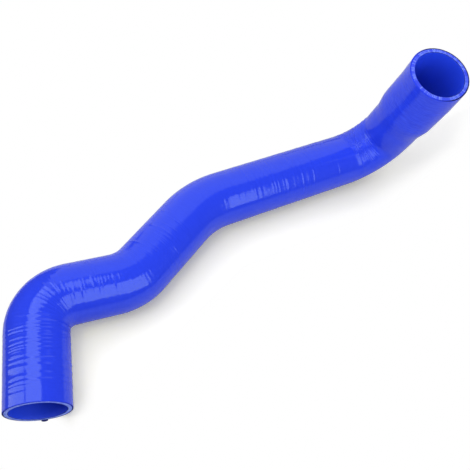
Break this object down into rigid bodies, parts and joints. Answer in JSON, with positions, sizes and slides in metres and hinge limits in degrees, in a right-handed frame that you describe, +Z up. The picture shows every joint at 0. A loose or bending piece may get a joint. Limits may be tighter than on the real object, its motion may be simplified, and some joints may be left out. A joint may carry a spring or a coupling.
{
  "type": "charge air hose",
  "caption": "Preformed silicone air duct hose with several bends, a plain end and a flared cuff end, open all the way through.",
  "frame": {"origin": "on the floor the hose lies on, under the middle of the box around the hose", "axes": "+Z up from the floor; the plain mouth opens towards -Y, its leg runs along +Y, and the hose reaches across towards +X to the elbow that lifts the cuff"},
  "size_m": [0.472, 0.3134, 0.1892],
  "materials": {
    "silicone": "glossy blue silicone with fine cross-wrap marks; paler fabric plies show at the cut ends"
  },
  "bodies": {
    "root": {"hose": "silicone"}
  },
  "joints": []
}
